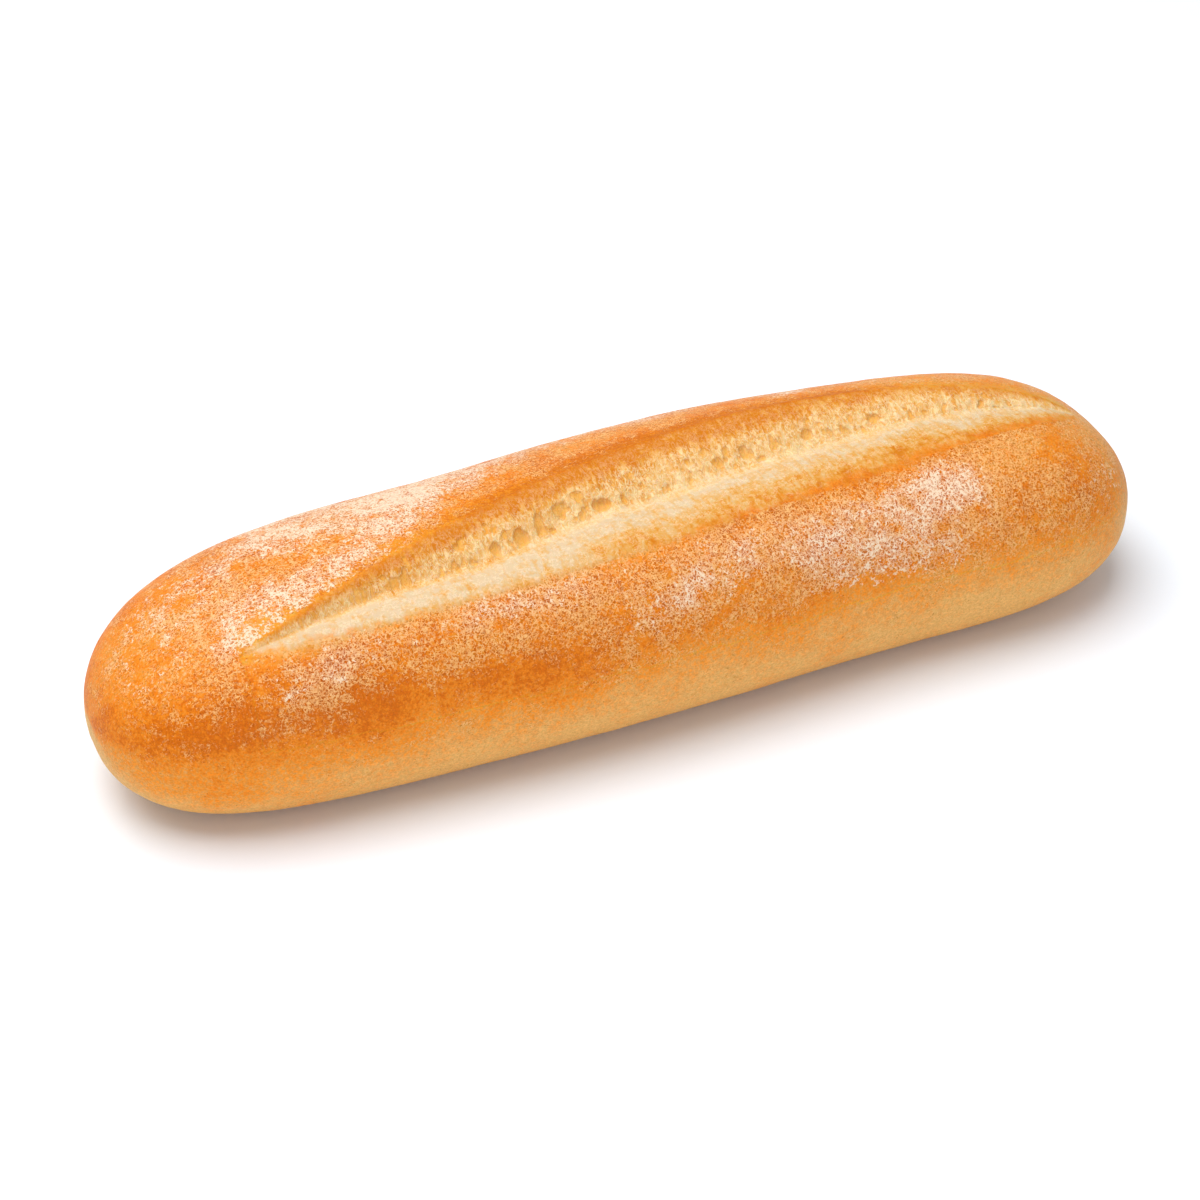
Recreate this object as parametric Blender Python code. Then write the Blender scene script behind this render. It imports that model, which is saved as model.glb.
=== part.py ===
"""A long white bread roll, scored once along its top before baking. Metres, +Z up.

+X runs along the roll, -Y is the side that the low lip of the score faces, and the
roll rests on Z = 0. The origin is on the base, under the middle of the roll's box.

The roll is one piece, so it is one closed solid. It starts as a UV sphere whose poles
become the two ends. Every vertex is then moved to its place on the loaf, and its rings
are spaced so that edges of the mesh run along the lip, the cleft and the ridge of the
score.
"""

import math

import bmesh
import bpy
from mathutils import Vector, noise

# Driving sizes
LENGTH = 0.250
WIDTH = 0.0708
HEIGHT = 0.0505

# Mesh density
RINGS = 96
SEGMENTS = 56
WALL_SEGMENTS = 9
BED_SEGMENTS = 9
RING_POWER = 7  # higher gives more even rings and fewer at the tips
LIP_CROWDING = 0.4  # how much closer the edges lie beside the score than at the base

# Form of the loaf, as shares and powers without a unit
WIDEST_AT = 0.448  # share of the height at which the section is widest
TIP_AT = 0.374  # the same for the tips
TIP_POWER = 4  # higher keeps the middle's share further out towards the tips
LEFT_BLUNTNESS = 4.62
RIGHT_BLUNTNESS = 5.05
END_ROUNDNESS = 2.24
CROWN_POWER = 2.34
FOOT_POWER = 2.42
FOOT_OVERSHOOT = 1.25  # the section would reach below the tray by this, and is flattened
FAR_SWELL = (0.016, 0.032, 0.004)  # of sin 2u, cos 2u and sin 3u, with u in half turns
NEAR_SWELL = (-0.012, 0.035, 0.005)

# Form of the loaf, in metres
SPINE_BOW = -0.0031
SPINE_SKEW = -0.0016
SPINE_SHIFT = -0.0002
BASE_BLEND = 0.004  # height over which the flank rounds into the flat base
BASE_LIP = 0.0004  # what would lie lower than this is pressed flat, so the roll stands firmly
LUMP_SIZE = 0.034
LUMP_HEIGHT = 0.0004
LUMP_FADE = 0.014  # no lumps at the base, all of them above this height

# The score: its ends along X, and its cleft, low bed, high wall and ridge
SCORE_LEFT = -0.381 * LENGTH
SCORE_RIGHT = 0.452 * LENGTH
CLEFT_LEFT = -0.0185
CLEFT_RIGHT = -0.0050
CLEFT_BOW = 0.0068
CLEFT_SKEW = 0.0042
CLEFT_SAG = 0.0019  # how far the cleft dips towards the lip in the left half, where, and over what reach
SAG_AT = 0.27
SAG_REACH = 0.075
CLEFT_DEPTH = 0.0052
BED_WIDTH = (0.0155, 0.0060, -0.0018)  # the mean, its slope along the score, and its bulge
WALL_WIDTH = (0.0092, 0.0036, -0.0054)
RIDGE_HEIGHT = 0.0012
RIDGE_ROUNDING = 0.0085
OPENING_POWER = 0.6
DEPTH_POWER = 0.9
BED_POWER = 1.4
WALL_POWER = 1.8
LEAST_MESH_SHARE = 0.13  # least width of the bands of edges, as a share of the half width
NEAREST_TIP = 0.001  # share along the score at which its edges turn straight
WIDEST_TURN = 0.95  # the furthest out that those edges may lie, as a share of the half width

# Torn crumb in the score: crags, and the big pores at the foot of the wall
CRAG_LENGTH = 0.007
CRAG_REACH = 0.012
CRAG_HEIGHT = 0.0006
# Share along the score, share up the wall, radius and depth of each big pore
BIG_PORES = (
    (0.188, 0.22, 0.0018, 0.0007),
    (0.287, 0.16, 0.0016, 0.0006),
    (0.320, 0.16, 0.0019, 0.0009),
    (0.372, 0.20, 0.0019, 0.0008),
    (0.420, 0.18, 0.0024, 0.0013),
    (0.598, 0.24, 0.0019, 0.0009),
    (0.676, 0.26, 0.0020, 0.0009),
    (0.757, 0.32, 0.0021, 0.0010),
)

CRUST_COLOUR = (0.72, 0.34, 0.09, 1.0)
CRUST_ROUGHNESS = 0.6


def clamp(value, low=0.0, high=1.0):
    return max(low, min(high, value))


def remove_startup_objects():
    for obj in list(bpy.data.objects):
        bpy.data.objects.remove(obj)


def end_taper(u):
    """Size of the section as a share of the middle's. u is -1 at the left tip and 1 at the right one."""
    bluntness = LEFT_BLUNTNESS if u < 0 else RIGHT_BLUNTNESS
    return max(1 - abs(u) ** bluntness, 0) ** (1 / END_ROUNDNESS)


def spine(u):
    """How far the loaf's middle line lies towards +Y."""
    return SPINE_SHIFT + SPINE_BOW * u**2 + SPINE_SKEW * u**3


def swell(u, far):
    """Share by which one side of the loaf is fuller here than a plain loaf."""
    half_turns = math.pi * u
    waves = FAR_SWELL if far else NEAR_SWELL
    return (
        waves[0] * math.sin(2 * half_turns)
        + waves[1] * math.cos(2 * half_turns)
        + waves[2] * math.sin(3 * half_turns)
    )


def half_width(u):
    return WIDTH / 2 * end_taper(u)


def flatten_foot(z):
    """Rounds what would lie under the tray into the flat base."""
    if z > BASE_BLEND:
        return z
    if z < -BASE_BLEND:
        return 0.0
    rounded = (z + BASE_BLEND) ** 2 / (4 * BASE_BLEND)
    return rounded if rounded > BASE_LIP else 0.0


def loaf_point(u, angle):
    """A point of the loaf before it is scored. The angle is 0 at +Y and a quarter turn at the top."""
    across, up = math.cos(angle), math.sin(angle)
    power = CROWN_POWER if up >= 0 else FOOT_POWER
    reach = (abs(across) ** power + abs(up) ** power) ** (-1 / power)
    fuller = 1 + swell(u, across > 0) * abs(across)
    taper = end_taper(u)
    widest = HEIGHT * (WIDEST_AT + (TIP_AT - WIDEST_AT) * abs(u) ** TIP_POWER)
    if up >= 0:
        rise = HEIGHT * (1 - WIDEST_AT) * taper * fuller
    else:
        rise = HEIGHT * WIDEST_AT * taper * FOOT_OVERSHOOT
    y = spine(u) + half_width(u) * reach * across * fuller
    z = flatten_foot(widest + rise * reach * up)
    return Vector((LENGTH / 2 * u, y, z))


def along_score(x):
    """0 at the score's left end and 1 at its right end."""
    return (x - SCORE_LEFT) / (SCORE_RIGHT - SCORE_LEFT)


def band(sizes, share):
    """Width of the bed or wall of the score at this share of its length."""
    mean, slope, bulge = sizes
    turn = 2 * share - 1
    arch = 4 * share * (1 - share)
    return arch**OPENING_POWER * (mean + slope * turn + bulge * (3 * turn**2 - 1) / 2)


def sag(share):
    """How far the cleft dips towards the lip here. The bed is narrower by this and the wall wider."""
    return CLEFT_SAG * math.exp(-(((share - SAG_AT) / SAG_REACH) ** 2))


def cleft_y(share):
    """Where the deepest line of the score runs."""
    arch = 4 * share * (1 - share)
    straight = CLEFT_LEFT + (CLEFT_RIGHT - CLEFT_LEFT) * share
    return straight + arch * (CLEFT_BOW + CLEFT_SKEW * (2 * share - 1)) - sag(share)


def bed_width(share):
    return band(BED_WIDTH, share) - sag(share)


def wall_width(share):
    return band(WALL_WIDTH, share) + sag(share)


def score_height(x, y):
    """How far the score raises or lowers the top of the loaf at x, y."""
    share = along_score(x)
    if not 0 < share < 1:
        return 0.0
    arch = 4 * share * (1 - share)
    depth = CLEFT_DEPTH * arch**DEPTH_POWER
    ridge = RIDGE_HEIGHT * arch**OPENING_POWER
    beyond = y - cleft_y(share)
    bed, wall = bed_width(share), wall_width(share)
    if beyond < 0:
        return -depth * clamp(1 + beyond / bed) ** BED_POWER
    if beyond < wall:
        return ridge - (ridge + depth) * (1 - beyond / wall) ** WALL_POWER
    return ridge * math.exp(-(((beyond - wall) / RIDGE_ROUNDING) ** 2))


def torn(x, y):
    """1 in the torn crumb beside the cleft, 0 on the crust."""
    share = along_score(x)
    if not 0 < share < 1:
        return 0.0
    beyond = y - cleft_y(share)
    width = bed_width(share) if beyond < 0 else wall_width(share)
    return clamp(1 - (abs(beyond) / width) ** 2)


def crag_height(x, y):
    """Crags of the torn crumb, stretched across the score as it tore."""
    place = Vector((x / CRAG_LENGTH, y / CRAG_REACH, 0.5))
    return CRAG_HEIGHT * noise.noise(place) * torn(x, y)


def pore_height(x, y):
    """Hollows left where big bubbles were torn open at the foot of the wall."""
    lowered = 0.0
    for share, up_wall, radius, depth in BIG_PORES:
        pore_x = SCORE_LEFT + (SCORE_RIGHT - SCORE_LEFT) * share
        pore_y = cleft_y(share) + wall_width(share) * up_wall
        away = math.hypot(x - pore_x, y - pore_y) / radius
        lowered -= depth * clamp(1 - away**2)
    return lowered


def ring_place(along):
    """Evens out the sphere's rings: u of a ring that lies at this share from pole to pole."""
    turn = 2 * along - 1
    return (RING_POWER * turn - math.copysign(abs(turn) ** RING_POWER, turn)) / (RING_POWER - 1)


def angle_at(u, y):
    """The angle at which the unscored loaf's top has this y."""
    sideways = (y - spine(u)) / half_width(u)
    sideways = clamp(sideways, -WIDEST_TURN, WIDEST_TURN)
    return math.atan2((1 - abs(sideways) ** CROWN_POWER) ** (1 / CROWN_POWER), sideways)


def score_angles(u):
    """Angles of the ridge, the cleft and the lip on this ring. Past the score they keep those of its ends."""
    nearest = clamp(along_score(LENGTH / 2 * u), NEAREST_TIP, 1 - NEAREST_TIP)
    nearest_u = (SCORE_LEFT + (SCORE_RIGHT - SCORE_LEFT) * nearest) / (LENGTH / 2)
    least = LEAST_MESH_SHARE * half_width(nearest_u)
    middle = cleft_y(nearest)
    wall = max(wall_width(nearest), least)
    bed = max(bed_width(nearest), least)
    return [angle_at(nearest_u, y) for y in (middle + wall, middle, middle - bed)]


def angle_round(u, segment):
    """The angle of an edge that runs along the roll: down the score's wall and bed, then round the loaf."""
    ridge, cleft, lip = score_angles(u)
    if segment <= WALL_SEGMENTS:
        return ridge + (cleft - ridge) * segment / WALL_SEGMENTS
    segment -= WALL_SEGMENTS
    if segment <= BED_SEGMENTS:
        return cleft + (lip - cleft) * segment / BED_SEGMENTS
    turn = (segment - BED_SEGMENTS) / (SEGMENTS - WALL_SEGMENTS - BED_SEGMENTS)
    spaced = turn - LIP_CROWDING * math.sin(math.tau * turn) / math.tau
    return lip + (math.tau + ridge - lip) * spaced


def roll_point(direction):
    """Moves a vertex of the unit sphere, one edge of which runs through +Y, to its place on the roll."""
    along = math.acos(clamp(-direction.z, -1.0, 1.0)) / math.pi
    turn = math.atan2(-direction.x, direction.y) / math.tau
    u = ring_place(along)
    angle = angle_round(u, round(turn * SEGMENTS) % SEGMENTS)
    point = loaf_point(u, angle)
    outward = Vector((0.0, math.cos(angle), math.sin(angle)))
    lump = LUMP_HEIGHT * noise.noise(point / LUMP_SIZE) * clamp(point.z / LUMP_FADE)
    if math.sin(angle) > 0:
        x, y = point.x, point.y
        point.z += score_height(x, y) + crag_height(x, y) + pore_height(x, y)
    return point + outward * lump


def crust_material():
    material = bpy.data.materials.new("crust")
    material.use_nodes = True
    shader = material.node_tree.nodes["Principled BSDF"]
    shader.inputs["Base Color"].default_value = CRUST_COLOUR
    shader.inputs["Roughness"].default_value = CRUST_ROUGHNESS
    shader.inputs["Metallic"].default_value = 0.0
    return material


def bread_roll(collection):
    """The whole roll, as one closed mesh."""
    bm = bmesh.new()
    bmesh.ops.create_uvsphere(bm, u_segments=SEGMENTS, v_segments=RINGS, radius=1.0)
    for vert in bm.verts:
        vert.co = roll_point(vert.co.copy())
    bmesh.ops.recalc_face_normals(bm, faces=bm.faces)
    mesh = bpy.data.meshes.new("bread_roll")
    bm.to_mesh(mesh)
    bm.free()
    mesh.shade_smooth()
    mesh.materials.append(crust_material())
    roll = bpy.data.objects.new("bread_roll", mesh)
    collection.objects.link(roll)
    return roll


def main():
    remove_startup_objects()
    collection = bpy.data.collections.new("long_bread_roll")
    bpy.context.scene.collection.children.link(collection)
    bread_roll(collection)


main()
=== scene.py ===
# %% [markdown]
# # A long bread roll
#
# The real thing is a slim white roll. It was dusted with flour, scored once along the top
# with a blade and baked on a flat sheet. In the oven the score opened: its near side lies
# low and smooth, its far side stands up as a torn wall under a raised ridge of crust.
#
# The solid model that the script loads already has that form. This lesson gives it the
# looks: torn crumb with pores, crust that browned unevenly, and flour.
#
# All sizes are in metres unless a name says otherwise. X runs along the roll, Z is up, and
# the camera looks from the -Y side.

# %% Load the solid model
import math
import random

import bmesh
import bpy
from mathutils import Matrix, Vector, noise


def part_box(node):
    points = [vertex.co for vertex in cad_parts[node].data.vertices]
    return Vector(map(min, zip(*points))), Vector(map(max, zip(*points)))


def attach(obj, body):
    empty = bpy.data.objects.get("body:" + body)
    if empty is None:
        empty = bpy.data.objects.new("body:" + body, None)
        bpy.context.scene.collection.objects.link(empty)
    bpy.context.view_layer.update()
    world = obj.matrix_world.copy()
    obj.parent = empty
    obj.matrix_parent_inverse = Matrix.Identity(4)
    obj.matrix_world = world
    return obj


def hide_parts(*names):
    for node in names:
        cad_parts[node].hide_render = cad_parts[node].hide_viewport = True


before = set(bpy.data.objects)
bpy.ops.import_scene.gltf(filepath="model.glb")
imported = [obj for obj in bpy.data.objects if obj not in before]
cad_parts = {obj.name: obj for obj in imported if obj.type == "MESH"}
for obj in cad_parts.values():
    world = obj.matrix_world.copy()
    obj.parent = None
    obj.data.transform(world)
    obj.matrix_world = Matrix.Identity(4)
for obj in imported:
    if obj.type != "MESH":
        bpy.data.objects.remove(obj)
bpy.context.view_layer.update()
solid_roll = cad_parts["bread_roll"]
low_corner, high_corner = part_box("bread_roll")
LENGTH = high_corner.x - low_corner.x
HEIGHT = high_corner.z
MM = 0.001
print(f"the roll is {LENGTH / MM:.0f} mm long and {HEIGHT / MM:.1f} mm high")

# %% [markdown]
# ## Finding a place on the roll
#
# Crust, crumb and flour all depend on where a point lies. Two numbers are enough for the
# crust: x, and the turn round the roll in degrees. The turn is 0 at the widest line of the
# near side, 90 at the top, 180 at the far side and 270 underneath.
#
# The score is cut into the solid at known shares of its length, so its lines can be worked
# out here again with the same rules. A point's place in the score is the share along it,
# and how far across: -1 at the near lip, 0 in the cleft and 1 at the ridge.

# %% Turn round the roll
WIDEST_HEIGHT = 22 * MM
SPINE_SHIFT = -0.2 * MM
SPINE_BOW = -3.1 * MM
SPINE_SKEW = -1.6 * MM


def clamp(value, low=0.0, high=1.0):
    return max(low, min(high, value))


def smooth(value, start, end):
    """0 before start, 1 after end, and a smooth step between them."""
    t = clamp((value - start) / (end - start))
    return t * t * (3 - 2 * t)


def lerp(first, last, share):
    return first + (last - first) * share


def spine(x):
    """How far the roll's middle line lies towards +Y."""
    u = x / (LENGTH / 2)
    return SPINE_SHIFT + SPINE_BOW * u**2 + SPINE_SKEW * u**3


def turn_round(point):
    """Degrees round the roll, from -90 up to 270."""
    turn = math.degrees(math.atan2(point.z - WIDEST_HEIGHT, spine(point.x) - point.y))
    return turn + 360 if turn < -90 else turn


# %% Lines of the score
SCORE_LEFT = -0.381 * LENGTH
SCORE_RIGHT = 0.452 * LENGTH
SCORE_LENGTH = SCORE_RIGHT - SCORE_LEFT
CLEFT_LEFT = -18.5 * MM
CLEFT_RIGHT = -5.0 * MM
CLEFT_BOW = 6.8 * MM
CLEFT_SKEW = 4.2 * MM
BED_WIDTH = (15.5 * MM, 6.0 * MM, -1.8 * MM)
WALL_WIDTH = (9.2 * MM, 3.6 * MM, -5.4 * MM)
OPENING_POWER = 0.6
CLEFT_SAG = 1.9 * MM
SAG_AT = 0.27
SAG_REACH = 0.075


def score_share(x):
    return clamp((x - SCORE_LEFT) / SCORE_LENGTH)


def score_lines(x):
    """y of the cleft here, and the widths of the low bed and of the torn wall beside it."""
    share = score_share(x)
    turn = 2 * share - 1
    arch = 4 * share * (1 - share)
    cleft = lerp(CLEFT_LEFT, CLEFT_RIGHT, share) + arch * (CLEFT_BOW + CLEFT_SKEW * turn)
    widths = []
    for mean, slope, bulge in (BED_WIDTH, WALL_WIDTH):
        widths.append(arch**OPENING_POWER * (mean + slope * turn + bulge * (3 * turn**2 - 1) / 2))
    sag = CLEFT_SAG * math.exp(-(((share - SAG_AT) / SAG_REACH) ** 2))
    return cleft - sag, widths[0] - sag, widths[1] + sag


_, middle_bed, middle_wall = score_lines(0.0)
print(f"at the middle the bed is {middle_bed / MM:.1f} mm wide and the wall {middle_wall / MM:.1f} mm")

# %% [markdown]
# ## A finer copy of the roll
#
# The solid has about ten thousand flat triangles. That is enough for its form, but its
# facets would show, and a pore of two millimetres would have no vertices of its own.
# A sculptor would remesh it. Here the copy is first merged and its triangles joined to
# quads, because a Subdivision Surface rounds quads evenly. Two levels leave most edges
# shorter than a millimetre, and the torn crumb is then cut once more along its length.

# %% Copy, merge and round
MERGE_DISTANCE = 1e-6
QUAD_BEND = math.radians(80)
QUAD_SKEW = math.radians(120)
ROUNDING_LEVELS = 2


def join_to_quads(mesh):
    """Merges the solid's loose triangles and joins them to quads."""
    bm = bmesh.new()
    bm.from_mesh(mesh)
    bmesh.ops.remove_doubles(bm, verts=bm.verts, dist=MERGE_DISTANCE)
    bmesh.ops.join_triangles(
        bm,
        faces=bm.faces,
        angle_face_threshold=QUAD_BEND,
        angle_shape_threshold=QUAD_SKEW,
    )
    bm.to_mesh(mesh)
    bm.free()


def apply_rounding(obj, levels):
    modifier = obj.modifiers.new("round", "SUBSURF")
    modifier.levels = modifier.render_levels = levels
    graph = bpy.context.evaluated_depsgraph_get()
    rounded = bpy.data.meshes.new_from_object(obj.evaluated_get(graph))
    obj.modifiers.clear()
    obj.data = rounded


roll = bpy.data.objects.new("baked_roll", solid_roll.data.copy())
bpy.context.scene.collection.objects.link(roll)
join_to_quads(roll.data)
apply_rounding(roll, ROUNDING_LEVELS)
print(f"the rounded copy has {len(roll.data.polygons)} faces")

# %% Cut the torn crumb finer
BED_CUT = 0.45
WALL_CUT = 0.9

bm = bmesh.new()
bm.from_mesh(roll.data)


def runs_along_crumb(edge):
    """True for an edge along the roll that lies on the wall or on the bed beside the cleft."""
    a, b = edge.verts[0].co, edge.verts[1].co
    middle = (a + b) / 2
    cleft, bed, wall = score_lines(middle.x)
    beyond = middle.y - cleft
    along = abs(a.x - b.x) > 2 * abs(a.y - b.y)
    return along and middle.z > HEIGHT / 2 and -BED_CUT * bed < beyond < WALL_CUT * wall


long_edges = [edge for edge in bm.edges if runs_along_crumb(edge)]
bmesh.ops.subdivide_edges(bm, edges=long_edges, cuts=1)
triangles = sum(len(face.verts) - 2 for face in bm.faces)
print(f"{len(long_edges)} edges cut, {triangles} triangles")

# %% [markdown]
# ## Relief of the crust
#
# Baked dough is never quite smooth: it has broad lumps, and fine pimples where small
# bubbles sat under the skin. Every vertex is moved along its own normal by a height that
# a few rules add up, so the relief is real geometry.

# %% Lumps and pimples
# Size in millimetres and height of each kind of lump, from broad swellings to pimples.
LUMPS = (
    (8, 0.10 * MM),
    (3, 0.05 * MM),
    (1.4, 0.025 * MM),
)


def wave(point, size, seed=0.0):
    """Smooth noise from about -1 to 1, with lumps of this size in millimetres."""
    return noise.noise(point / (size * MM) + Vector((seed, 2 * seed, -seed)))


def crust_height(point):
    """How far lumps and pimples raise or lower the crust here."""
    return sum(height * wave(point, size) for size, height in LUMPS)


# %% [markdown]
# ## Relief of the torn crumb
#
# Where the dough tore, its bubbles were pulled open. Thin walls of dough stand between
# them as a pale, ragged net, drawn out across the score. A Voronoi pattern has just that
# form: the gap between the nearest and the next nearest seed is small along the walls and
# large in the middle of each bubble. Some bubbles were much larger, and those pores are
# listed one by one, because the eye finds them first.

# %% Pores
# Share along the score, share up the wall, half its length along the score, half its
# width across it, and its depth. The last three are in millimetres.
BIG_PORES = (
    (0.150, 0.20, 0.4, 1.4, 0.3),
    (0.172, 0.20, 0.5, 1.2, 0.4),
    (0.188, 0.26, 0.8, 1.7, 0.5),
    (0.193, 0.62, 0.5, 1.2, 0.3),
    (0.226, 0.08, 0.8, 1.1, 0.4),
    (0.240, 0.16, 0.6, 0.7, 0.3),
    (0.262, 0.10, 0.7, 0.7, 0.4),
    (0.290, 0.14, 1.4, 1.4, 0.6),
    (0.304, 0.30, 0.8, 0.9, 0.3),
    (0.322, 0.14, 2.0, 1.8, 0.7),
    (0.346, 0.22, 1.3, 2.0, 0.6),
    (0.358, 0.06, 0.8, 0.7, 0.4),
    (0.372, 0.32, 1.5, 1.5, 0.5),
    (0.396, 0.42, 1.5, 1.2, 0.4),
    (0.394, 0.10, 0.9, 0.8, 0.5),
    (0.421, 0.15, 2.3, 1.5, 0.8),
    (0.447, 0.12, 0.9, 0.8, 0.5),
    (0.500, 0.10, 0.5, 0.7, 0.4),
    (0.528, 0.06, 0.6, 1.0, 0.5),
    (0.552, 0.42, 1.0, 0.8, 0.3),
    (0.566, 0.18, 0.9, 1.0, 0.5),
    (0.577, 0.32, 1.0, 1.2, 0.4),
    (0.598, 0.24, 1.2, 1.5, 0.6),
    (0.634, 0.20, 0.9, 1.0, 0.5),
    (0.676, 0.26, 1.4, 1.2, 0.5),
    (0.702, 0.18, 0.5, 1.1, 0.4),
    (0.757, 0.26, 1.7, 1.1, 0.5),
    (0.842, 0.20, 0.9, 0.6, 0.3),
)
print(f"{len(BIG_PORES)} big pores")

# %% Many small pores
# Each number from 0 to 1 is drawn evenly, and a power above 1 makes most of them small:
# so most of these pores are small, and lie low on the wall.
SMALL_PORES = 170
SMALL_PORE_SEED = 11
SMALL_PORE_SPAN = (0.06, 0.97)
SMALL_PORE_RISE = 0.55
SMALL_PORE_SPREAD = 0.45
SMALL_PORE_STRETCH = (0.8, 2.0)
SMALL_PORE_DEPTH = 0.7


def small_pores():
    """Rows like those of BIG_PORES, crowded just above the cleft."""
    draw = random.Random(SMALL_PORE_SEED)
    rows = []
    for _ in range(SMALL_PORES):
        share = draw.uniform(*SMALL_PORE_SPAN)
        up = 0.02 + SMALL_PORE_RISE * draw.random() ** 1.6
        size = 0.2 + SMALL_PORE_SPREAD * draw.random() ** 2
        width = size * draw.uniform(*SMALL_PORE_STRETCH)
        rows.append((share, up, size, width, size * SMALL_PORE_DEPTH))
    return rows


# %% File the pores by their place
# There are tens of thousands of vertices, so each one looks only at the pores that are
# filed under its own stretch of the roll.
PORE_CELL = 5 * MM
pore_cells = {}
for share, up, half_length, half_width, depth in BIG_PORES + tuple(small_pores()):
    pore_x = SCORE_LEFT + SCORE_LENGTH * share
    pore_cleft, _, pore_wall = score_lines(pore_x)
    pore = (pore_x, pore_cleft + pore_wall * up, half_length * MM, half_width * MM, depth * MM)
    for step in (-1, 0, 1):
        pore_cells.setdefault(math.floor(pore_x / PORE_CELL) + step, []).append(pore)
print(f"{SMALL_PORES} small pores, and {len(pore_cells)} stretches of the roll with pores")

# %% Shape of a pore
# A pore is an oval bowl. The places below are squares of the distance from its middle,
# where 1 is the oval itself. Noise first moves the point, so that the ovals come out ragged.
RAGGED_SIZE = 1.1
RAGGED_REACH = 0.50 * MM
BOWL_FLOOR = 0.3
BOWL_EDGE = 1.15
RIM_START = 0.7
RIM_END = 2
RIM_HEIGHT = 0.10


def pore_shape(x, y):
    """How deep the pores are here, and from 0 to 1 how far inside a pore this lies."""
    point = Vector((x, y, 0))
    ragged_x = x + RAGGED_REACH * wave(point, RAGGED_SIZE, seed=1.3)
    ragged_y = y + RAGGED_REACH * wave(point, RAGGED_SIZE, seed=4.1)
    depth, inside = 0.0, 0.0
    nearby = pore_cells.get(math.floor(x / PORE_CELL), ())
    for pore_x, pore_y, half_length, half_width, deepest in nearby:
        away = ((ragged_x - pore_x) / half_length) ** 2 + ((ragged_y - pore_y) / half_width) ** 2
        if away < RIM_END:
            bowl = 1 - smooth(away, BOWL_FLOOR, BOWL_EDGE)
            rim = smooth(away, RIM_START, BOWL_EDGE) * (1 - smooth(away, BOWL_EDGE, RIM_END))
            depth = max(depth, deepest * bowl) - RIM_HEIGHT * deepest * rim
            inside = max(inside, bowl)
    return depth, inside


# %% The net of torn bubbles
NET_BEND = 0.35
NET_BEND_SIZE = 2.5
NET_WALL = 0.38


def bubble_net(x, y, length, width, seed):
    """1 on the thin walls between bubbles, 0 in the middle of a bubble. Sizes in millimetres."""
    bend = NET_BEND * wave(Vector((x, y, 0)), NET_BEND_SIZE, seed)
    place = Vector((x / (length * MM) + bend, y / (width * MM) - bend, seed))
    nearest, next_nearest = noise.voronoi(place)[0][:2]
    return 1 - smooth(next_nearest - nearest, 0.0, NET_WALL)


def shred_wave(x, beyond, size, stretch, seed):
    """Noise with lumps that are drawn out across the score, as torn dough is."""
    return wave(Vector((x, beyond / stretch, 0)), size, seed)


# %% The torn wall
# Heights in millimetres: the net's walls, how far its hollows lie back, the shreds, and
# the slow swelling of the whole wall.
WALL_NET = 0.16
WALL_HOLLOW = 0.06
WALL_SHREDS = 0.10
WALL_SWELL = 0.13


def wall_height(x, y, beyond, up):
    """The torn wall over the smooth solid, and how far inside a pore this lies."""
    foot = smooth(up, 0.0, 0.1)
    torn = foot * (1 - smooth(up, 0.45, 1.0))
    strength = smooth(score_share(x), 0.05, 0.32)
    net = bubble_net(x, beyond, 1.5, 3.2, seed=7.0)
    shreds = shred_wave(x, beyond, 0.6, stretch=3, seed=5.0)
    swell = wave(Vector((x, beyond, 0)), 3.0, seed=9.0)
    tears = torn * strength * (WALL_NET * net - WALL_HOLLOW + WALL_SHREDS * shreds) * MM
    depth, inside = pore_shape(x, y)
    return tears + WALL_SWELL * MM * swell - depth * foot, inside


# %% The soft bed
# The same four heights as on the wall, in millimetres.
BED_NET = 0.10
BED_HOLLOW = 0.04
BED_SHREDS = 0.18
BED_SWELL = 0.20


def bed_height(x, beyond, across):
    """The soft bed over the smooth solid: fluffy near the cleft, a smoother skin near the lip."""
    fluffy = smooth(across, -0.6, -0.05)
    net = bubble_net(x, beyond, 1.3, 2.4, seed=3.0)
    shreds = shred_wave(x, beyond, 0.7, stretch=5, seed=2.0)
    swell = wave(Vector((x, beyond, 0)), 5.0, seed=6.0)
    return fluffy * (BED_NET * net - BED_HOLLOW + BED_SHREDS * shreds) * MM + BED_SWELL * MM * swell


def torn_share(across):
    """How stringy the crumb is: 0 on the soft bed, 1 on the foot of the wall."""
    if across < 0:
        return 0.6 * smooth(across, -0.3, 0.0)
    return 1 - 0.7 * smooth(across, 0.4, 1.1)


# %% The cleft and the crust's torn edges
CLEFT_REACH = 1.2 * MM
CLEFT_RISE = 0.08
CLEFT_SHREDS = 0.38
CLEFT_TUFTS = 0.45
LIP_PROUD = 0.20 * MM
RIDGE_PROUD = 0.25 * MM
EDGE_PLACE = -0.6 * MM
EDGE_WIDTH = 0.8 * MM


def cleft_height(x, beyond):
    """Shreds of crumb that stand out along the cleft, from the bed and the foot of the wall."""
    near = math.exp(-((beyond / CLEFT_REACH) ** 2))
    shreds = abs(shred_wave(x, beyond, 1.1, stretch=2, seed=8.0))
    tufts = smooth(shred_wave(x, beyond, 3.5, stretch=2, seed=9.0), -0.2, 0.5)
    return near * MM * (CLEFT_RISE + CLEFT_SHREDS * shreds + CLEFT_TUFTS * tufts)


def crust_edge_height(lip, ridge):
    """The crust's torn edge stands a little proud, at the near lip and at the ridge."""
    edge = 0.0
    for into_crumb, proud in ((lip, LIP_PROUD), (ridge, RIDGE_PROUD)):
        edge += proud * math.exp(-(((into_crumb - EDGE_PLACE) / EDGE_WIDTH) ** 2))
    return edge


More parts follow.
